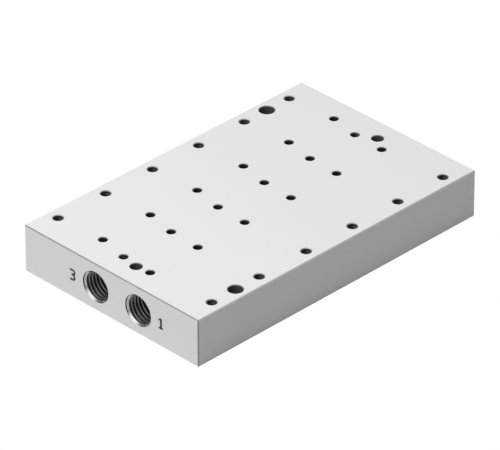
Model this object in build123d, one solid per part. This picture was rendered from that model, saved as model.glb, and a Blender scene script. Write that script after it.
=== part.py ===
"""Manifold base for a row of small 3/2-way air valves: one aluminium block, drilled and tapped.

All sizes are in millimetres. The origin is the centre of the underside. +X runs along the row of
valves, +Y points to the long side that holds the outlets, and +Z points up to the valve face.
Two galleries run the whole length of the block, one for supply air and one for exhaust air, and
are tapped at both ends. Each valve sits over three small ports: one meets the supply gallery, one
meets the exhaust gallery, and one leads to an outlet of its own in the long side.
"""

import math
import os

from build123d import *

# The row of valves
station_count = 6
station_pitch = 18.0
end_margin = 9.0  # from the last valve's middle to the end face

# The block
screw_row_spacing = 60.0  # between the two screws of one valve
side_margin = 4.0  # from a row of screws to the long face
block_height = 15.0
edge_break = 0.3

# Where the valve's three ports lie, from the middle of its station
port_diameter = 2.5
outlet_port_x = 1.0
outlet_port_y = 13.25
exhaust_port_x = -1.05
exhaust_port_y = 3.0
supply_port_x = -1.45
supply_port_y = -7.8

# The galleries lie outside the ports that open into them
exhaust_gallery_offset = 2.8
supply_gallery_offset = 3.0

# Thread at both ends of each gallery, G1/8
gallery_thread_major = 9.73
gallery_thread_height = 0.58
gallery_thread_length = 9.5

# Valve screws, M3
screw_thread_major = 3.0
screw_floor = 1.1  # metal left between the screw hole's point and the outlet below it

# Outlets, M5
outlet_thread_major = 5.0
outlet_thread_length = 5.5
outlet_floor = 2.0  # metal left under the outlet's thread
outlet_passage_diameter = 3.0

# Holes that fix the block itself
end_hole_diameter = 3.4  # clears M3
end_hole_inset = 7.0  # from the end face
end_hole_offset = -0.4  # from the middle of the web between the galleries
locating_hole_diameter = 4.3  # clears M4 closely
fixing_hole_diameter = 4.5  # clears M4 freely

# Tools
drill_point_angle = 118.0
hole_edge_break = 0.2
overshoot = 1.0  # how far a cutter starts outside the face

# Worked out from the sizes above
block_length = (station_count - 1) * station_pitch + 2 * end_margin
block_width = screw_row_spacing + 2 * side_margin
station_x = [(i - (station_count - 1) / 2) * station_pitch for i in range(station_count)]
gallery_height = block_height / 2
exhaust_gallery_y = exhaust_port_y + exhaust_gallery_offset
supply_gallery_y = supply_port_y - supply_gallery_offset
outlet_height = outlet_floor + outlet_thread_major / 2


def point_height(diameter):
    """Height of the cone that the point of a drill of this diameter leaves."""
    return diameter / 2 / math.tan(math.radians(drill_point_angle / 2))


def hole_wall(steps, edge):
    """Outline of a stepped hole's wall, as (radius, height) points from the mouth inwards.

    The mouth lies at height 0 and the hole runs down. Its edge is broken at 45 degrees, or left
    sharp if edge is 0. steps lists (diameter, depth) pairs, and where the hole narrows, a
    drill's point has left a cone.
    """
    first_radius = steps[0][0] / 2
    if edge > 0:
        points = [(first_radius + edge + overshoot, overshoot), (first_radius, -edge)]
    else:
        points = [(first_radius, overshoot)]
    for (diameter, depth), (next_diameter, _) in zip(steps, steps[1:]):
        shoulder = point_height(diameter) - point_height(next_diameter)
        points.append((diameter / 2, -depth))
        points.append((next_diameter / 2, -depth - shoulder))
    return points


def turned(outline):
    """Solid of revolution about Z of a closed outline of (radius, height) points."""
    half_section = Plane.XZ * Polyline(*outline, close=True)
    return revolve(make_face(half_section), Axis.Z)


def blind_hole(steps, edge=hole_edge_break):
    """Cutter for a hole that ends in the metal, in the cone of its drill's point."""
    diameter, depth = steps[-1]
    bottom = [(diameter / 2, -depth), (0, -depth - point_height(diameter))]
    return turned(hole_wall(steps, edge) + bottom + [(0, overshoot)])


def through_hole(steps, length, edge=hole_edge_break):
    """Cutter for a hole right through, worked alike from both of its mouths."""
    near_half = hole_wall(steps, edge)
    far_half = [(radius, -length - height) for radius, height in reversed(near_half)]
    return turned(near_half + far_half + [(0, -length - overshoot), (0, overshoot)])


def tapped_screw_holes():
    """The two rows of blind tapped holes that hold the valves down.

    They are cut at the thread's major diameter, and so are the outlets and the galleries' ends.
    """
    outlet_top = outlet_height + outlet_thread_major / 2
    depth = block_height - outlet_top - screw_floor - point_height(screw_thread_major)
    cutter = blind_hole([(screw_thread_major, depth)])
    rows = [-screw_row_spacing / 2, screw_row_spacing / 2]
    return [Pos(x, y, block_height) * cutter for x in station_x for y in rows]


def valve_ports():
    """The three ports of each valve, drilled down to the middle of what they open into."""
    to_gallery = blind_hole([(port_diameter, block_height - gallery_height)])
    to_outlet = blind_hole([(port_diameter, block_height - outlet_height)])
    holes = []
    for x in station_x:
        holes.append(Pos(x + outlet_port_x, outlet_port_y, block_height) * to_outlet)
        holes.append(Pos(x + exhaust_port_x, exhaust_port_y, block_height) * to_gallery)
        holes.append(Pos(x + supply_port_x, supply_port_y, block_height) * to_gallery)
    return holes


def galleries():
    """The exhaust and supply galleries, bored from end to end and tapped at both."""
    bore = gallery_thread_major - 2 * gallery_thread_height
    cutter = through_hole(
        [(gallery_thread_major, gallery_thread_length), (bore, block_length / 2)],
        block_length,
        edge=0,
    )
    holes = []
    for y in (exhaust_gallery_y, supply_gallery_y):
        mouth = Plane(origin=(-block_length / 2, y, gallery_height), z_dir=(-1, 0, 0))
        holes.append(mouth * cutter)
    return holes


def outlets():
    """One tapped outlet for each valve, with a passage in to the valve's outlet port."""
    reach = block_width / 2 - outlet_port_y + port_diameter / 2
    cutter = blind_hole(
        [(outlet_thread_major, outlet_thread_length), (outlet_passage_diameter, reach)]
    )
    holes = []
    for x in station_x:
        origin = (x + outlet_port_x, block_width / 2, outlet_height)
        holes.append(Plane(origin=origin, z_dir=(0, 1, 0)) * cutter)
    return holes


def fixing_holes():
    """Clearance holes right through the block, for the screws that hold it down."""
    end_hole = through_hole([(end_hole_diameter, block_height)], block_height)
    end_hole_x = block_length / 2 - end_hole_inset
    end_hole_y = (exhaust_gallery_y + supply_gallery_y) / 2 + end_hole_offset
    holes = [Pos(x, end_hole_y, block_height) * end_hole for x in (-end_hole_x, end_hole_x)]

    row_y = screw_row_spacing / 2
    between_stations = station_x[-1] - station_pitch / 2
    locating_hole = through_hole([(locating_hole_diameter, block_height)], block_height)
    fixing_hole = through_hole([(fixing_hole_diameter, block_height)], block_height)
    holes.append(Pos(-between_stations, -row_y, block_height) * locating_hole)
    holes.append(Pos(between_stations, row_y, block_height) * fixing_hole)
    return holes


def manifold_base():
    """The milled block with its edges broken and every hole cut."""
    stand_on_floor = (Align.CENTER, Align.CENTER, Align.MIN)
    blank = Box(block_length, block_width, block_height, align=stand_on_floor)
    blank = chamfer(blank.edges(), edge_break)
    cutters = galleries() + outlets() + valve_ports() + tapped_screw_holes() + fixing_holes()
    return blank - cutters


os.makedirs("parts", exist_ok=True)
export_step(manifold_base(), "parts/manifold_base.step")
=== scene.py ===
# %% [markdown]
# # Valve manifold base
#
# The object is one aluminium block that carries a row of six small air valves. Air comes in
# through a long gallery and feeds every valve through a small hole in the top. A second gallery
# takes the exhaust air away, and each valve has an outlet of its own in the far long side. The
# block itself, with every drilled hole, is a CAD part that is loaded first. This script gives it
# its finish, adds the threads of its tapped holes, marks the two port numbers, and sets up the
# camera and the lights.

import math

import bmesh
import bpy
import numpy as np
from mathutils import Matrix, Quaternion, Vector


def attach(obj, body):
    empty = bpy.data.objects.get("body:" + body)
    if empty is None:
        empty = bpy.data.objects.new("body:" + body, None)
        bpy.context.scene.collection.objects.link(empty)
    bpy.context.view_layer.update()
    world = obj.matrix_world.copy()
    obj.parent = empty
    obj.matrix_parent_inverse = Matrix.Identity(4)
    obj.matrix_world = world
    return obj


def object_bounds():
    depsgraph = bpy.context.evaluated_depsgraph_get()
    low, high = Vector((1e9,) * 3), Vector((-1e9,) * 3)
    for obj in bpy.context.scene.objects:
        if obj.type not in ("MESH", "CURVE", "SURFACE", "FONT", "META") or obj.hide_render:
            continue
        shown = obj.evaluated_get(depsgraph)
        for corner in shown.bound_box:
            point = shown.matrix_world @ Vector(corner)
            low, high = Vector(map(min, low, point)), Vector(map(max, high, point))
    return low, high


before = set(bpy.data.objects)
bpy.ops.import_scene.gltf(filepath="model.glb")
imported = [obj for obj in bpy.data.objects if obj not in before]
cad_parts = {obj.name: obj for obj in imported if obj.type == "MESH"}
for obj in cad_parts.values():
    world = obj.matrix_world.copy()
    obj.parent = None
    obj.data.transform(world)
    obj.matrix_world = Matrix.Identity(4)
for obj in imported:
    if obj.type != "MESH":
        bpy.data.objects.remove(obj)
cad_low, cad_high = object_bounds()
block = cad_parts["manifold_base"]
MM = 0.001  # lengths are written in millimetres, and this makes them metres
half_length = cad_high.x / MM
half_width = cad_high.y / MM
height = cad_high.z / MM
print("block", 2 * half_length, 2 * half_width, height)

# %% [markdown]
# ## Camera
#
# A product picture like this one is taken from far away with a long lens, so that the edges of
# the block stay almost parallel. A camera could be placed by eye, but then the holes would not
# fall where they should. Here its place and its lens were worked out from the corners of the
# block and its rows of holes. It looks at a point near the middle of the block, and it leans
# over by a tenth of a degree.

# %% Camera
CAMERA_AZIMUTH = math.radians(-44.8381)
CAMERA_ELEVATION = math.radians(32.2231)
CAMERA_ROLL = math.radians(0.1059)
CAMERA_DISTANCE = 1559.6 * MM
CAMERA_SENSOR = 36.0
CAMERA_LENS = 406.69
LOOK_AT = Vector((-2.062, -1.424, 7.5)) * MM

camera_data = bpy.data.cameras.new("camera")
camera_data.sensor_width = CAMERA_SENSOR
camera_data.lens = CAMERA_LENS
camera_data.clip_start = 0.1
camera_data.clip_end = 20.0
camera = bpy.data.objects.new("camera", camera_data)
bpy.context.scene.collection.objects.link(camera)
bpy.context.scene.camera = camera

towards_camera = Vector((
    math.sin(CAMERA_AZIMUTH) * math.cos(CAMERA_ELEVATION),
    -math.cos(CAMERA_AZIMUTH) * math.cos(CAMERA_ELEVATION),
    math.sin(CAMERA_ELEVATION),
))
camera.rotation_mode = "QUATERNION"
upright = (-towards_camera).to_track_quat("-Z", "Y")
camera.rotation_quaternion = upright @ Quaternion((0, 0, 1), -CAMERA_ROLL)
camera.location = LOOK_AT + towards_camera * CAMERA_DISTANCE
print("camera at", camera.location)

# %% [markdown]
# ## Building blocks of the finishes
#
# A finish could be painted into an image, but the image would have to be unwrapped onto every
# hole. Here each finish is a small net of nodes that works out its colour from the place of a
# point, and needs nothing but Object coordinates. These helpers add the nodes that every finish
# uses: sums, ramps, mixtures of two greys, fine noise and a relief.

# %% Helpers for material nodes
RELIEF_HEIGHT = 0.01  # of the relief in every finish, in millimetres


def new_material(name):
    """A new node material with its tree and its Principled shader."""
    material = bpy.data.materials.new(name)
    material.use_nodes = True
    tree = material.node_tree
    return material, tree, tree.nodes["Principled BSDF"]


def calculate(tree, operation, *values):
    """Adds a Math node and returns its output. Each value is a number or another output."""
    node = tree.nodes.new("ShaderNodeMath")
    node.operation = operation
    for socket, value in zip(node.inputs, values):
        if isinstance(value, (int, float)):
            socket.default_value = value
        else:
            tree.links.new(value, socket)
    return node.outputs[0]


def above(tree, value, low, high):
    """0 where value is under low and 1 where it is over high, with a straight ramp between.

    With low and high the other way round, it is 1 under high and 0 over low.
    """
    node = tree.nodes.new("ShaderNodeMapRange")
    tree.links.new(value, node.inputs["Value"])
    node.inputs["From Min"].default_value = low
    node.inputs["From Max"].default_value = high
    return node.outputs["Result"]


def blend_colours(tree, share, first, second):
    """Mixes from the first colour at share 0 to the second at share 1.

    Each colour is a grey level or another output.
    """
    node = tree.nodes.new("ShaderNodeMix")
    node.data_type = "RGBA"
    tree.links.new(share, node.inputs["Factor"])
    for name, value in (("A", first), ("B", second)):
        socket = [s for s in node.inputs if s.name == name and s.type == "RGBA"][0]
        if isinstance(value, (int, float)):
            socket.default_value = (value, value, value, 1)
        else:
            tree.links.new(value, socket)
    return [s for s in node.outputs if s.type == "RGBA"][0]


def noise(tree, scale, detail):
    """A noise pattern on Object coordinates. scale is in spots for each metre."""
    place = tree.nodes.new("ShaderNodeTexCoord")
    node = tree.nodes.new("ShaderNodeTexNoise")
    tree.links.new(place.outputs["Object"], node.inputs["Vector"])
    node.inputs["Scale"].default_value = scale
    node.inputs["Detail"].default_value = detail
    return node.outputs["Fac"]


def patterned_grey(tree, pattern, middle, contrast):
    """The grey level middle, made up to half the contrast lighter and darker by a pattern."""
    return calculate(tree, "MULTIPLY_ADD", pattern, contrast, middle - contrast / 2)


def paint_grey(tree, shader, grey):
    """Gives the shader the colour of a grey level from another output."""
    colour = tree.nodes.new("ShaderNodeCombineColor")
    for socket in colour.inputs[:3]:
        tree.links.new(grey, socket)
    tree.links.new(colour.outputs[0], shader.inputs["Base Color"])


def bump(tree, shader, pattern, strength):
    """Gives the shader a fine relief that follows the pattern."""
    node = tree.nodes.new("ShaderNodeBump")
    node.inputs["Strength"].default_value = strength
    node.inputs["Distance"].default_value = RELIEF_HEIGHT * MM
    tree.links.new(pattern, node.inputs["Height"])
    tree.links.new(node.outputs["Normal"], shader.inputs["Normal"])


# %% [markdown]
# ## The block
#
# The block is milled all over and then blasted to a fine matt grey. Its sharp edges are broken with
# a cutter, and show as fine lines darker than the faces: their greys are painted light and shade,
# darkest round the two ends and lighter along the long edges. The walls of the holes are painted
# almost black, and the rims of the holes darker than the faces, as painted shade; the walls of the
# holes that go right through get a lighter painted shade, as they are open below. Each of these
# could be a material on faces of its
# own, but the block comes as one mesh of loose triangles. So one material holds them all, and
# tells them apart by the depth of a point below the nearest face of the block. At no depth it is
# the blasted face, in a thin band along the edges it is the broken edge, just inside a mouth it
# is the broken rim of the hole, and further in it is a drilled wall.

# %% Where a point lies in the block


def object_axes(tree):
    """The node whose outputs are the X, Y and Z of Object coordinates, in metres."""
    place = tree.nodes.new("ShaderNodeTexCoord")
    split = tree.nodes.new("ShaderNodeSeparateXYZ")
    tree.links.new(place.outputs["Object"], split.inputs[0])
    return split


def distance_from(tree, coordinate, centre=0.0):
    """How far a coordinate lies from a centre, either way, in millimetres."""
    offset = calculate(tree, "MULTIPLY_ADD", coordinate, 1 / MM, -centre)
    return calculate(tree, "ABSOLUTE", offset)


def depths_below_faces(tree, split):
    """Distances in millimetres: to the nearest side of the block, to the next, and to an end."""
    sides = []
    centres = (0.0, 0.0, height / 2)
    for axis, centre, half in zip("XYZ", centres, (half_length, half_width, height / 2)):
        from_centre = distance_from(tree, split.outputs[axis], centre)
        sides.append(calculate(tree, "SUBTRACT", half, from_centre))
    x, y, z = sides
    low_xy = calculate(tree, "MINIMUM", x, y)
    high_xy = calculate(tree, "MAXIMUM", x, y)
    nearest = calculate(tree, "MINIMUM", low_xy, z)
    second = calculate(tree, "MAXIMUM", low_xy, calculate(tree, "MINIMUM", high_xy, z))
    return nearest, second, x


# %% [markdown]
# ## Lips of the galleries, with painted shade
#
# A fine dark lip runs down the left and the right of each gallery's mouth, and the top and the
# bottom stay bright. That dark lip is painted shade at the sides of the mouth. It could be a
# groove, but nothing shows how deep one would be. So it is a mask, which the finish of the block
# and that of the thread's lead-in both use.
# Folding the block over on the line between the galleries handles both of them at once.

# %% Lips of the galleries, painted shade
EXHAUST_Y = 5.8  # where the two galleries run
SUPPLY_Y = -10.8
GALLERY_HEIGHT = height / 2
MOUTH_BREAK = 0.2  # depth of the broken rim of a hole
LIP_RADIUS = 5.0
# The grey of the lips is painted shade at the sides of the galleries' mouths.
LIP_SHADE_GREY = 0.015
LIP_RAMP = 0.02
LIP_BEGINS = 0.65  # how far sideways a point lies, as a share of its radius, where the lip begins
LIP_IS_FULL = 0.95  # and where it is as dark as it gets


def lip_shade_mask(tree, split, from_end):
    """Mask of the painted shade on the lips at the left and the right of the galleries' mouths.

    The radius from the gallery's axis is the root of the sum of two squares, one across the block
    and one upwards. The mask is 1 inside LIP_RADIUS, near an end face, and sideways of the axis.
    """
    fold = distance_from(tree, split.outputs["Y"], (EXHAUST_Y + SUPPLY_Y) / 2)
    from_axis = calculate(tree, "SUBTRACT", fold, (EXHAUST_Y - SUPPLY_Y) / 2)
    aside = calculate(tree, "ABSOLUTE", from_axis)
    up = distance_from(tree, split.outputs["Z"], GALLERY_HEIGHT)
    aside_squared = calculate(tree, "POWER", aside, 2.0)
    up_squared = calculate(tree, "POWER", up, 2.0)
    radius = calculate(tree, "SQRT", calculate(tree, "ADD", aside_squared, up_squared))
    outside = above(tree, radius, LIP_RADIUS - LIP_RAMP, LIP_RADIUS + LIP_RAMP)
    inside_bore = above(tree, from_end, MOUTH_BREAK, MOUTH_BREAK + LIP_RAMP)
    left_out = calculate(tree, "MAXIMUM", outside, inside_bore)
    lip = calculate(tree, "SUBTRACT", 1.0, left_out)
    sideways = calculate(tree, "DIVIDE", aside, radius)
    return calculate(tree, "MULTIPLY", lip, above(tree, sideways, LIP_BEGINS, LIP_IS_FULL))


# %% [markdown]
# ## Kinds of hole
#
# The rims and walls of the holes carry painted shade. It is lighter at the rims of the screw holes
# than at those of the ports, and lighter on the walls of the holes that go right through than on
# those that end in the metal. A mask round each single hole would take many nodes. The holes lie in
# rows, so a few boxes take them all in, once the block is folded over on both of its middle lines.

# %% Kinds of hole
SCREW_ROW = 30.0  # from the middle line to either row of screws
ROW_REACH = 3.0
CORNER_HOLE_X = 36.0
CORNER_REACH = 3.0
END_HOLE = (47.0, 2.9)  # from both middle lines
END_REACH = (2.0, 1.8)


def kinds_of_hole(tree, split):
    """Masks of the two rows along the long sides, and of the four holes that go right through,
    which set the painted shade of the holes.

    Both are boxes round the holes, mirrored into all four quarters of the block. The box round an
    end hole takes in the exhaust port beside it, which gets the lighter painted shade of the
    through holes as well.
    """
    x = distance_from(tree, split.outputs["X"])
    y = distance_from(tree, split.outputs["Y"])
    in_row = calculate(tree, "COMPARE", y, SCREW_ROW, ROW_REACH)
    corner = calculate(tree, "COMPARE", x, CORNER_HOLE_X, CORNER_REACH)
    corner = calculate(tree, "MULTIPLY", in_row, corner)
    end_x = calculate(tree, "COMPARE", x, END_HOLE[0], END_REACH[0])
    end_y = calculate(tree, "COMPARE", y, END_HOLE[1], END_REACH[1])
    end = calculate(tree, "MULTIPLY", end_x, end_y)
    return in_row, calculate(tree, "MAXIMUM", corner, end)


# %% Grey of the faces
FACE_GREY = 0.80
GRAIN_CONTRAST = 0.03
CLOUD_SCALE = 60.0
CLOUD_DETAIL = 2.0
CLOUD_CONTRAST = 0.01


def blasted_face(tree, grain):
    """Grey of the faces: the grain of the blasting, and a faint cloud over it."""
    cloud = noise(tree, CLOUD_SCALE, CLOUD_DETAIL)
    speckle = patterned_grey(tree, grain, FACE_GREY, GRAIN_CONTRAST)
    speckle = calculate(tree, "SUBTRACT", speckle, CLOUD_CONTRAST / 2)
    return calculate(tree, "MULTIPLY_ADD", cloud, CLOUD_CONTRAST, speckle)


# %% Painted shade of the holes
# These greys are painted shade: walls almost black, rims darker than the faces, lighter at the
# screw holes and on the walls of holes that go right through.
RIM_SHADE_GREY = 0.23
SCREW_RIM_SHADE_GREY = 0.42
WALL_SHADE_GREY = 0.018
THROUGH_WALL_SHADE_GREY = 0.075


def shade_of_holes(tree, split, from_end):
    """Painted shade of the broken rims and of the drilled walls, by the kind of hole.

    A gallery's mouth has no broken rim, and the first bit of its wall is as light as the face.
    """
    in_row, through = kinds_of_hole(tree, split)
    screw = calculate(tree, "GREATER_THAN", in_row, through)
    rim_shade_grey = blend_colours(tree, screw, RIM_SHADE_GREY, SCREW_RIM_SHADE_GREY)
    gallery_mouth = above(tree, from_end, MOUTH_BREAK + LIP_RAMP, MOUTH_BREAK)
    rim_shade_grey = blend_colours(tree, gallery_mouth, rim_shade_grey, FACE_GREY)
    wall_shade_grey = blend_colours(tree, through, WALL_SHADE_GREY, THROUGH_WALL_SHADE_GREY)
    return rim_shade_grey, wall_shade_grey


# %% Finish of the block
GRAIN_SCALE = 5000.0
GRAIN_DETAIL = 3.0
GRAIN_RELIEF = 0.25
FACE_ROUGHNESS = 0.55
EDGE_BREAK = 0.3
EDGE_RAMP = 0.01
# The edge greys are painted light and shade for how the light falls: darker on the edges round the
# ends, lighter along the long edges.
LIT_LONG_EDGE_GREY = 0.70
SHADED_END_EDGE_GREY = 0.33
EDGE_METAL = 0.45
EDGE_ROUGHNESS = 0.5
WALL_RAMP = 0.05
WALL_ROUGHNESS = 0.6
SKIN_TOP = 0.002  # between these two depths the face passes into what lies below it
SKIN_BOTTOM = 0.006


def blasted_block():
    """Matt faces, broken edges and hole walls, told apart by depth, with painted shade on the
    edges, rims and walls.
    """
    material, tree, shader = new_material("blasted_aluminium")
    split = object_axes(tree)
    nearest, second, from_end = depths_below_faces(tree, split)
    off_face = above(tree, nearest, SKIN_TOP, SKIN_BOTTOM)
    inland = above(tree, second, EDGE_BREAK, EDGE_BREAK + EDGE_RAMP)
    edge = calculate(tree, "MULTIPLY", off_face, calculate(tree, "SUBTRACT", 1.0, inland))
    hole = calculate(tree, "MULTIPLY", off_face, inland)
    wall = above(tree, nearest, MOUTH_BREAK, MOUTH_BREAK + WALL_RAMP)

    grain = noise(tree, GRAIN_SCALE, GRAIN_DETAIL)
    clear_of_end = above(tree, from_end, EDGE_BREAK, EDGE_BREAK + EDGE_RAMP)
    # Painted shade on the edges round the ends, and painted light on the long edges.
    edge_light_and_shade_grey = blend_colours(tree, clear_of_end, SHADED_END_EDGE_GREY, LIT_LONG_EDGE_GREY)
    # Painted shade in the holes: darker rims and almost black walls.
    rim_shade_grey, wall_shade_grey = shade_of_holes(tree, split, from_end)
    colour = blend_colours(tree, edge, blasted_face(tree, grain), edge_light_and_shade_grey)
    colour = blend_colours(tree, hole, colour, rim_shade_grey)
    colour = blend_colours(tree, wall, colour, wall_shade_grey)
    # Painted shade on the lips at the sides of the galleries' mouths.
    colour = blend_colours(tree, lip_shade_mask(tree, split, from_end), colour, LIP_SHADE_GREY)
    tree.links.new(colour, shader.inputs["Base Color"])

    metal = calculate(tree, "MULTIPLY", edge, EDGE_METAL)
    tree.links.new(metal, shader.inputs["Metallic"])
    edge_change = EDGE_ROUGHNESS - FACE_ROUGHNESS
    rough = calculate(tree, "MULTIPLY_ADD", edge, edge_change, FACE_ROUGHNESS)
    in_hole = calculate(tree, "MULTIPLY", hole, WALL_ROUGHNESS)
    rough = calculate(tree, "MAXIMUM", rough, in_hole)
    tree.links.new(rough, shader.inputs["Roughness"])
    bump(tree, shader, grain, GRAIN_RELIEF)
    return material


block.data.materials.clear()
block.data.materials.append(blasted_block())
print("finish", block.data.materials[0].name)

# %% [markdown]
# ## Metal of the threads
#
# A tap leaves a thread bare and finely scored. In the large ports its flanks shine in light and
# dark bands, which only a metal does that mirrors what is round it. So little light comes back out
# of the small holes that metal would glitter there, and a plain dark grey is calmer. Both greys are
# far darker than bare aluminium, and that darkness is painted shade inside the holes. One function
# makes both, and it gives both the same scoring.

# %% Metal of the threads
SCORE_SCALE = 2500.0
SCORE_DETAIL = 2.0
SCORE_CONTRAST = 0.02
SCORE_RELIEF = 0.2


def cut_thread(name, thread_shade_grey, metal, roughness):
    """The surface that a tap leaves, finely scored, with its grey darkened as painted shade."""
    material, tree, shader = new_material(name)
    score = noise(tree, SCORE_SCALE, SCORE_DETAIL)
    paint_grey(tree, shader, patterned_grey(tree, score, thread_shade_grey, SCORE_CONTRAST))
    shader.inputs["Metallic"].default_value = metal
    shader.inputs["Roughness"].default_value = roughness
    bump(tree, shader, score, SCORE_RELIEF)
    return material


# %% [markdown]
# ## Metal of the lead-in
#
# A countersink leaves a smooth, bright cone at the mouth of each large thread, the shiniest metal
# of the part. It could share the metal of the thread, but then the mouth would have no bright ring,
# so it gets a lighter and smoother one. The painted shade of the lips runs over it.

# %% Metal of the lead-in
LEAD_IN_GREY = 0.79
LEAD_IN_CONTRAST = 0.06
LEAD_IN_METAL = 1.0
LEAD_IN_ROUGHNESS = 0.18


def turned_lead_in():
    """The bright cone that a countersink leaves at the mouth of a large thread."""
    material, tree, shader = new_material("turned_lead_in")
    split = object_axes(tree)
    from_end = depths_below_faces(tree, split)[2]
    score = noise(tree, SCORE_SCALE, SCORE_DETAIL)
    grey = patterned_grey(tree, score, LEAD_IN_GREY, LEAD_IN_CONTRAST)
    # The painted shade of the lips darkens the cone at the sides of the mouth.
    colour = blend_colours(tree, lip_shade_mask(tree, split, from_end), grey, LIP_SHADE_GREY)
    tree.links.new(colour, shader.inputs["Base Color"])
    shader.inputs["Metallic"].default_value = LEAD_IN_METAL
    shader.inputs["Roughness"].default_value = LEAD_IN_ROUGHNESS
    return material


# %% [markdown]
# ## Colour of the port numbers
#
# The numbers are burnt into the finished block, dark and dull. They could be a mask in the
# block's own finish, but letters made by masks need many nodes. Here they are thin plates with a
# material of their own, which has no metal in it and hardly shines.

# %% Colour of the port numbers
INK_GREY = 0.06
INK_ROUGHNESS = 0.7
SPECK_SCALE = 9000.0
SPECK_DETAIL = 2.0
SPECK_CONTRAST = 0.03


def burnt_mark():
    """The dark, dull grey that a marking laser leaves on aluminium."""
    material, tree, shader = new_material("laser_mark")
    speck = noise(tree, SPECK_SCALE, SPECK_DETAIL)
    paint_grey(tree, shader, patterned_grey(tree, speck, INK_GREY, SPECK_CONTRAST))
    shader.inputs["Roughness"].default_value = INK_ROUGHNESS
    return material


# %% [markdown]
# ## Threads
#
# A tapped hole is a bore with a spiral groove in its wall. The block has the plain bore, as wide
# as the groove is deep, so what is missing is the ridge between the turns. A screw modifier could
# sweep a tooth round the axis, but the ends of the sweep then need closing by hand. Here the wall
# is one grid instead: a column for each angle, and rows that run down along the spiral, so that a
# corner of the tooth is always an edge of the mesh. Rows that would leave the ends of the bore
# are held at the end, and there they fall together into one ring. At the seam the last column
# joins the first a whole turn further up. Two more rings carry the grid back behind the wall of
# the bore, and it closes on itself.

# %% Meshes from closed grids
MERGE_DISTANCE = 0.0005


def closed_mesh(name, points, beside):
    """A mesh from a grid points[row, column] that closes on itself both ways.

    Its last row joins the first, and beside[row, column] is the number of the point next to a
    point in its row. Points that coincide are merged.
    """
    rows, columns = points.shape[:2]
    index = np.arange(rows * columns).reshape(rows, columns)
    below = np.roll(index, -1, axis=0)
    corner = np.roll(beside, -1, axis=0)
    quads = np.stack([index, beside, corner, below], axis=-1).reshape(-1, 4)
    mesh = bpy.data.meshes.new(name)
    mesh.from_pydata(points.reshape(-1, 3), [], quads)
    solid = bmesh.new()
    solid.from_mesh(mesh)
    bmesh.ops.remove_doubles(solid, verts=solid.verts, dist=MERGE_DISTANCE * MM)
    solid.to_mesh(mesh)
    solid.free()
    return mesh


def signed_volume(mesh):
    """Volume inside the mesh in cubic millimetres, below zero if its faces point inwards."""
    solid = bmesh.new()
    solid.from_mesh(mesh)
    volume = solid.calc_volume(signed=True) / MM**3
    solid.free()
    return volume


# %% Pieces of the block
SHARP_FROM = 25.0  # faces that meet at more degrees than this keep a crisp edge


def add_piece(name, mesh):
    """Puts a finished mesh in the scene as a piece that rides on the block."""
    mesh.polygons.foreach_set("use_smooth", np.ones(len(mesh.polygons), bool))
    mesh.set_sharp_from_angle(angle=math.radians(SHARP_FROM))
    piece = bpy.data.objects.new(name, mesh)
    bpy.context.scene.collection.objects.link(piece)
    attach(piece, "root")
    print(name, len(mesh.polygons), "faces", round(signed_volume(mesh), 4), "mm3")
    return piece


# %% The wall of a tapped hole
WALL_SINK = 0.025  # how far behind the wall of the bore a thread's back lies
CREST_FLAT = 0.22  # share of a turn that is flat at the crest
ROOT_FLAT = 0.16  # and at the bottom of the groove
FLANK_ROWS = 3
RUN_IN = 0.12  # share of a turn over which the groove comes in from nothing
SPARE_TURNS = 3  # more than fit in the bore, so that the rows run past both of its ends


def spiral_rows(turns):
    """Where the rows lie along the spiral, in turns, with a row at each corner of the tooth."""
    crest = [-CREST_FLAT / 2, CREST_FLAT / 2]
    root = [0.5 - ROOT_FLAT / 2, 0.5 + ROOT_FLAT / 2]
    falling = np.linspace(crest[1], root[0], FLANK_ROWS + 1)
    rising = np.linspace(root[1], 1 + crest[0], FLANK_ROWS + 1)[:-1]
    one_turn = np.concatenate([crest[:1], falling, rising])
    return (np.arange(turns)[:, None] + one_turn[None, :]).ravel(), len(one_turn)


def thread_wall(name, major, ridge, pitch, start, end, columns):
    """A right-hand thread round the Z axis, with the mouth of its hole at Z = 0 and the hole below.

    A point's phase is its depth in turns plus its angle in turns. The distance of the phase from
    the nearest whole number tells how far the point lies from the crest, and a straight flank
    between the two flats gives its radius. The groove starts after the first whole phase, and
    in its first turn it comes in from nothing over a share RUN_IN of the angle.
    """
    turns = int(math.ceil((end - start) / pitch)) + SPARE_TURNS
    row_phase, rows_per_turn = spiral_rows(turns)
    angle = np.linspace(0, 2 * np.pi, columns, endpoint=False)[None, :]
    angle_in_turns = angle / (2 * np.pi)
    depth = start + pitch * (row_phase[:, None] - angle_in_turns)
    depth = np.clip(depth, start, end)
    phase = (depth - start) / pitch + angle_in_turns
    from_crest = np.abs(phase - np.round(phase))
    flank = (from_crest - CREST_FLAT / 2) / (0.5 - CREST_FLAT / 2 - ROOT_FLAT / 2)
    groove = np.where(phase > 1, np.clip(flank, 0, 1), 0)
    run_in = np.clip((1 - angle_in_turns) / RUN_IN, 0, 1)
    groove = np.where(phase < 2, groove * run_in, groove)
    radius = major / 2 - ridge * (1 - groove)
    back = np.full((2, columns), major / 2 + WALL_SINK)
    back_depth = np.repeat([[end], [start]], columns, axis=1)
    radius = np.concatenate([radius, back])
    depth = np.concatenate([depth, back_depth])
    points = np.stack([radius * np.cos(angle), radius * np.sin(angle), -depth], axis=-1)

    index = np.arange(radius.size).reshape(radius.shape)
    beside = np.roll(index, -1, axis=1)
    row_a_turn_up = np.maximum(np.arange(len(row_phase)) - rows_per_turn, 0)
    beside[:-2, -1] = index[row_a_turn_up, 0]
    return closed_mesh(name, points * MM, beside)


def at_mouth(mouth, outward):
    """The move that turns the Z axis to point along outward and takes the origin to the mouth."""
    turn = Vector(outward).to_track_quat("Z", "Y").to_matrix().to_4x4()
    return Matrix.Translation(Vector(mouth) * MM) @ turn


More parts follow.
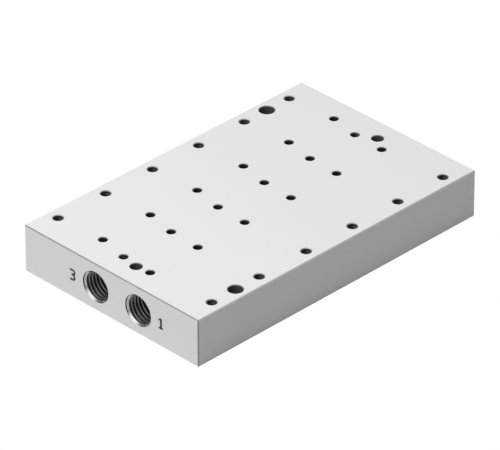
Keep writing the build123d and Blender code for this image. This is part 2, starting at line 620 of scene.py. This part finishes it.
# %% [markdown]
# ## Gallery threads
#
# Both galleries are tapped at both ends for a pipe thread. In the picture about five turns can be
# counted down the wall, each 1.21 mm long. A countersink has been run in at the mouth, and its
# bright cone catches the light. The small ports drilled from the top break into the last turns.
# Cone and port could be worked into the grid, but the line where a drill crosses a spiral has no
# simple formula. So they are cut out of the thread with the Boolean modifier, which does what the
# two tools did to the real one, and the cone keeps a finish of its own.

# %% Cutters
ROUND_SEGMENTS = 176


def cutter(radius_low, radius_high, length, move, material):
    """A capped cone or cylinder about its own Z axis, moved to its place, as an object."""
    solid = bmesh.new()
    bmesh.ops.create_cone(
        solid, cap_ends=True, segments=ROUND_SEGMENTS, radius1=radius_low * MM,
        radius2=radius_high * MM, depth=length * MM, matrix=move,
    )
    mesh = bpy.data.meshes.new("cutter")
    solid.to_mesh(mesh)
    solid.free()
    mesh.materials.append(material)
    tool = bpy.data.objects.new("cutter", mesh)
    bpy.context.scene.collection.objects.link(tool)
    return tool


def cut_away(mesh, tools):
    """The mesh less all the tools, which are used up. Cut faces take the finish of the tool."""
    blank = bpy.data.objects.new("blank", mesh)
    bpy.context.scene.collection.objects.link(blank)
    for tool in tools:
        cut = blank.modifiers.new("cut", "BOOLEAN")
        cut.object = tool
        cut.operation = "DIFFERENCE"
        cut.solver = "EXACT"
        cut.material_mode = "TRANSFER"
    bpy.context.view_layer.update()
    depsgraph = bpy.context.evaluated_depsgraph_get()
    result = bpy.data.meshes.new_from_object(blank.evaluated_get(depsgraph))
    for item in [blank] + tools:
        bpy.data.objects.remove(item)
    return result


# %% Gallery threads
STATIONS = [-45.0, -27.0, -9.0, 9.0, 27.0, 45.0]
GALLERY_THREAD = (9.70, 0.56, 1.21)  # major diameter, height of the ridge, and pitch
GALLERY_START = 0.10
GALLERY_END = 9.45
GALLERY_TWIST = math.radians(42.0)  # where the thread begins, round the hole
LEAD_IN_MOUTH = 9.86  # across the cone where it would meet the end face
CONE_LENGTH = 3.0  # of the countersink, half of it outside the block
PORT_RADIUS = 1.25
# The low grey of the pipe thread is painted shade inside the ports.
PIPE_THREAD_SHADE_GREY = 0.29
PIPE_THREAD_METAL = 0.95
PIPE_THREAD_ROUGHNESS = 0.28
galleries = {
    "exhaust": {"y": EXHAUST_Y, "port_x": -1.05, "port_y": 3.0},
    "supply": {"y": SUPPLY_Y, "port_x": -1.45, "port_y": -7.8},
}

thread_material = cut_thread(
    "pipe_thread", PIPE_THREAD_SHADE_GREY, PIPE_THREAD_METAL, PIPE_THREAD_ROUGHNESS,
)
lead_in_material = turned_lead_in()


def gallery_thread(place, side):
    """The thread at one end of a gallery, countersunk and with the valve's port drilled through.

    The sides of the countersink lie at 45 degrees, so it is as much wider as it is further out.
    """
    mesh = thread_wall("thread", *GALLERY_THREAD, GALLERY_START, GALLERY_END, ROUND_SEGMENTS)
    mesh.materials.append(thread_material)
    mesh.transform(Matrix.Rotation(GALLERY_TWIST, 4, "Z"))
    move = at_mouth((side * half_length, place["y"], GALLERY_HEIGHT), (side, 0, 0))
    mesh.transform(move)
    widest = LEAD_IN_MOUTH / 2 + CONE_LENGTH / 2
    cone = cutter(widest - CONE_LENGTH, widest, CONE_LENGTH, move, lead_in_material)
    port = Vector((side * STATIONS[-1] + place["port_x"], place["port_y"], height))
    port_move = Matrix.Translation(port * MM)
    drill = cutter(PORT_RADIUS, PORT_RADIUS, height, port_move, thread_material)
    return cut_away(mesh, [cone, drill])


for gallery, place in galleries.items():
    for end, side in (("near", -1), ("far", 1)):
        add_piece(f"{gallery}_thread_{end}", gallery_thread(place, side))

# %% [markdown]
# ## Threads of the valve screws and of the outlets
#
# The same wall, only smaller, goes into the twelve holes for the valve screws and the six outlets
# in the far long side. Each could be a piece of its own, but they are never told apart, so all
# threads of one size are one piece. They start just below the broken rim of the hole.

# %% Small threads
SCREW_THREAD = (2.98, 0.24, 0.5)
SCREW_COLUMNS = 44
OUTLET_THREAD = (4.98, 0.40, 0.8)
OUTLET_COLUMNS = 64
OUTLET_X = 1.0  # from the middle of a station
OUTLET_HEIGHT = 4.5
SMALL_START = 0.22
SMALL_END = 5.4
# The near black grey of the small threads is painted shade inside the holes.
SCREW_THREAD_SHADE_GREY = 0.04
SCREW_THREAD_METAL = 0.0
SCREW_THREAD_ROUGHNESS = 0.5

small_thread_material = cut_thread(
    "screw_thread", SCREW_THREAD_SHADE_GREY, SCREW_THREAD_METAL, SCREW_THREAD_ROUGHNESS,
)


def several_threads(name, sizes, columns, mouths, outward):
    """One piece from the same thread at several mouths. sizes are its major, ridge and pitch."""
    joined = bmesh.new()
    for mouth in mouths:
        wall = thread_wall(name, *sizes, SMALL_START, SMALL_END, columns)
        wall.transform(at_mouth(mouth, outward))
        joined.from_mesh(wall)
    mesh = bpy.data.meshes.new(name)
    joined.to_mesh(mesh)
    joined.free()
    mesh.materials.append(small_thread_material)
    return add_piece(name, mesh)


screw_mouths = [(x, y, height) for x in STATIONS for y in (-SCREW_ROW, SCREW_ROW)]
several_threads("screw_threads", SCREW_THREAD, SCREW_COLUMNS, screw_mouths, (0, 0, 1))

outlet_mouths = [(x + OUTLET_X, half_width, OUTLET_HEIGHT) for x in STATIONS]
several_threads("outlet_threads", OUTLET_THREAD, OUTLET_COLUMNS, outlet_mouths, (0, 1, 0))

# %% [markdown]
# ## Port numbers
#
# The two ports in the end face carry their numbers, 3 for exhaust air and 1 for supply air, as
# air ports do on any make of valve. Each figure is drawn with a few strokes of a pen: a path of
# lines and arcs, and a width that stays the same along the stroke. The stem of the 1 takes a
# wider pen than its flag and foot. A font would be quicker, but strokes leave the cut of the
# ends and every width free.

# %% Strokes
STROKE = 0.66
STEM_STROKE = 0.78
FLAG_STROKE = 0.56
MARK_HEIGHT = 0.012  # a mark stands this far proud of the face, too little to see


def arc(centre, radii, start, stop, count=15):
    """Points on an ellipse's arc from one angle to another, in degrees."""
    angle = np.radians(np.linspace(start, stop, count))
    return np.array(centre) + np.array(radii) * np.stack([np.cos(angle), np.sin(angle)], axis=-1)


def pen_stroke(path, width):
    """Left and right edge of a stroke of even width along a path of points in the plane."""
    along = np.gradient(path, axis=0)
    along /= np.linalg.norm(along, axis=1, keepdims=True)
    sideways = np.stack([-along[:, 1], along[:, 0]], axis=-1) * width / 2
    return path + sideways, path - sideways


def raised_stroke(left, right):
    """A closed low bar on the near end face. Plane X runs along -Y, so the figure reads right."""
    outline = np.stack([left, right, right, left], axis=1)
    level = np.array([MARK_HEIGHT, MARK_HEIGHT, -MARK_HEIGHT, -MARK_HEIGHT])
    level = np.broadcast_to(level, outline.shape[:2])
    points = np.stack([-half_length - level, -outline[..., 0], outline[..., 1]], axis=-1) * MM
    rows, columns = points.shape[:2]
    index = np.arange(rows * columns).reshape(rows, columns)
    beside = np.roll(index, -1, axis=1)
    sides = np.stack([index[:-1], beside[:-1], beside[1:], index[1:]], axis=-1).reshape(-1, 4)
    caps = np.stack([index[0][::-1], index[-1]])
    mesh = bpy.data.meshes.new("stroke")
    mesh.from_pydata(points.reshape(-1, 3), [], np.concatenate([sides, caps]))
    return mesh


def figure(name, centre, strokes, material):
    """One piece from the strokes of a figure, each a path and a width, round a centre."""
    joined = bmesh.new()
    for path, width in strokes:
        left, right = pen_stroke(np.array(path) + np.array(centre), width)
        joined.from_mesh(raised_stroke(left, right))
    mesh = bpy.data.meshes.new(name)
    joined.to_mesh(mesh)
    joined.free()
    mesh.materials.append(material)
    return add_piece(name, mesh)


# %% The 3 and the 1
THREE_CENTRE = (-14.85, 7.40)
ONE_CENTRE = (19.50, 7.35)
mark_material = burnt_mark()

upper_bowl = arc((-0.14, 0.85), (0.96, 0.70), 150, -80)
lower_bowl = arc((-0.24, -0.80), (1.02, 0.78), 82, -90)
waist = np.array([(-0.45, 0.10), (0.0, 0.08)])
tail = np.array([(-0.24, -1.58), (-1.06, -1.54)])
three = [(path, STROKE) for path in (upper_bowl, lower_bowl, waist, tail)]
figure("port_number_3", THREE_CENTRE, three, mark_material)

stem = np.array([(0.16, 1.62), (0.16, -1.60)])
flag = np.array([(-0.75, 1.05), (0.22, 1.50)])
foot = np.array([(-0.70, -1.45), (0.95, -1.45)])
one = [(stem, STEM_STROKE), (flag, FLAG_STROKE), (foot, FLAG_STROKE)]
figure("port_number_1", ONE_CENTRE, one, mark_material)

# %% [markdown]
# ## Floor
#
# The block stands on a plain white floor, which is an even white in the picture. A floor lit
# like the block would show its shading, and one that glows would wash out the sides of the
# block. So this floor is two things: the camera sees it glow an even white, and the light that
# bounces off it finds a duller white.

# %% Floor
FLOOR_WHITE = 1.0
FLOOR_BOUNCE = 0.44
FLOOR_ROUGHNESS = 0.9
FLOOR_HALF = 4.0  # in metres
FLOOR_DROP = 0.02 * MM  # keeps the floor clear of the underside of the block


def floor_material():
    """White to the camera, and a duller white to the light that bounces off it."""
    material, tree, shader = new_material("floor")
    shader.inputs["Roughness"].default_value = FLOOR_ROUGHNESS
    shader.inputs["Base Color"].default_value = (FLOOR_BOUNCE, FLOOR_BOUNCE, FLOOR_BOUNCE, 1)
    glow = tree.nodes.new("ShaderNodeEmission")
    glow.inputs["Strength"].default_value = FLOOR_WHITE
    seen = tree.nodes.new("ShaderNodeLightPath")
    both = tree.nodes.new("ShaderNodeMixShader")
    tree.links.new(seen.outputs["Is Camera Ray"], both.inputs["Fac"])
    tree.links.new(shader.outputs[0], both.inputs[1])
    tree.links.new(glow.outputs[0], both.inputs[2])
    tree.links.new(both.outputs[0], tree.nodes["Material Output"].inputs["Surface"])
    return material


floor_mesh = bpy.data.meshes.new("floor")
floor_corners = np.array([(-1, -1, 0), (1, -1, 0), (1, 1, 0), (-1, 1, 0)]) * FLOOR_HALF
floor_mesh.from_pydata(floor_corners - np.array((0, 0, FLOOR_DROP)), [], [(0, 1, 2, 3)])
floor_mesh.materials.append(floor_material())
floor = bpy.data.objects.new("floor", floor_mesh)
bpy.context.scene.collection.objects.link(floor)
print("floor", 2 * FLOOR_HALF, "m across")

# %% [markdown]
# ## Light
#
# A picture like this one is lit by large soft lamps in a bright room. The light of the room
# could be the same all round, but bright metal mirrors it, and would look flat. So it is
# brightest overhead and falls off towards the horizon, and a broad glow stands above the near
# end, for the bands in the threads. One large round lamp above and to the left gives the top and
# the end their light.

# %% Light of the room
HORIZON_LIGHT = 0.07
ZENITH_LIGHT = 0.395
GLOW_FROM = Vector((-0.74, -0.15, 0.65))
GLOW_LIGHT = 0.81
GLOW_EDGE = 0.66  # cosine of the angle from the middle of the glow to where it begins
GLOW_CORE = 0.98  # and to where it is full

world = bpy.data.worlds.new("room")
world.use_nodes = True
room = world.node_tree
direction = room.nodes.new("ShaderNodeTexCoord")
axes = room.nodes.new("ShaderNodeSeparateXYZ")
room.links.new(direction.outputs["Generated"], axes.inputs[0])
climb = calculate(room, "MAXIMUM", axes.outputs["Z"], 0.0)
light = calculate(room, "MULTIPLY_ADD", climb, ZENITH_LIGHT - HORIZON_LIGHT, HORIZON_LIGHT)
towards_glow = room.nodes.new("ShaderNodeVectorMath")
towards_glow.operation = "DOT_PRODUCT"
towards_glow.inputs[1].default_value = GLOW_FROM.normalized()
room.links.new(direction.outputs["Generated"], towards_glow.inputs[0])
glow = above(room, towards_glow.outputs["Value"], GLOW_EDGE, GLOW_CORE)
light = calculate(room, "MULTIPLY_ADD", glow, GLOW_LIGHT, light)
room.nodes["Background"].inputs["Color"].default_value = (1, 1, 1, 1)
room.links.new(light, room.nodes["Background"].inputs["Strength"])
bpy.context.scene.world = world
print("room light", HORIZON_LIGHT, "to", ZENITH_LIGHT, "and a glow of", GLOW_LIGHT)

# %% Lamp
LAMP_FROM = Vector((-0.395, 0.10, 0.90))
LAMP_DISTANCE = 0.85  # in metres, and so is the size
LAMP_SIZE = 0.39
LAMP_POWER = 4.55

lamp_data = bpy.data.lights.new("key", "AREA")
lamp_data.shape = "DISK"
lamp_data.size = LAMP_SIZE
lamp_data.energy = LAMP_POWER
lamp = bpy.data.objects.new("key", lamp_data)
lamp.rotation_mode = "QUATERNION"
lamp.rotation_quaternion = LAMP_FROM.to_track_quat("Z", "Y")
lamp.location = LAMP_FROM.normalized() * LAMP_DISTANCE
bpy.context.scene.collection.objects.link(lamp)
print("lamp at", lamp.location)

# %% [markdown]
# ## Picture settings
#
# Blender's own view transform rolls bright tones off, which would leave a white floor grey. The
# Standard one keeps white at white.

# %% Picture settings
view_settings = bpy.context.scene.view_settings
view_settings.view_transform = "Standard"
print("view", view_settings.view_transform)
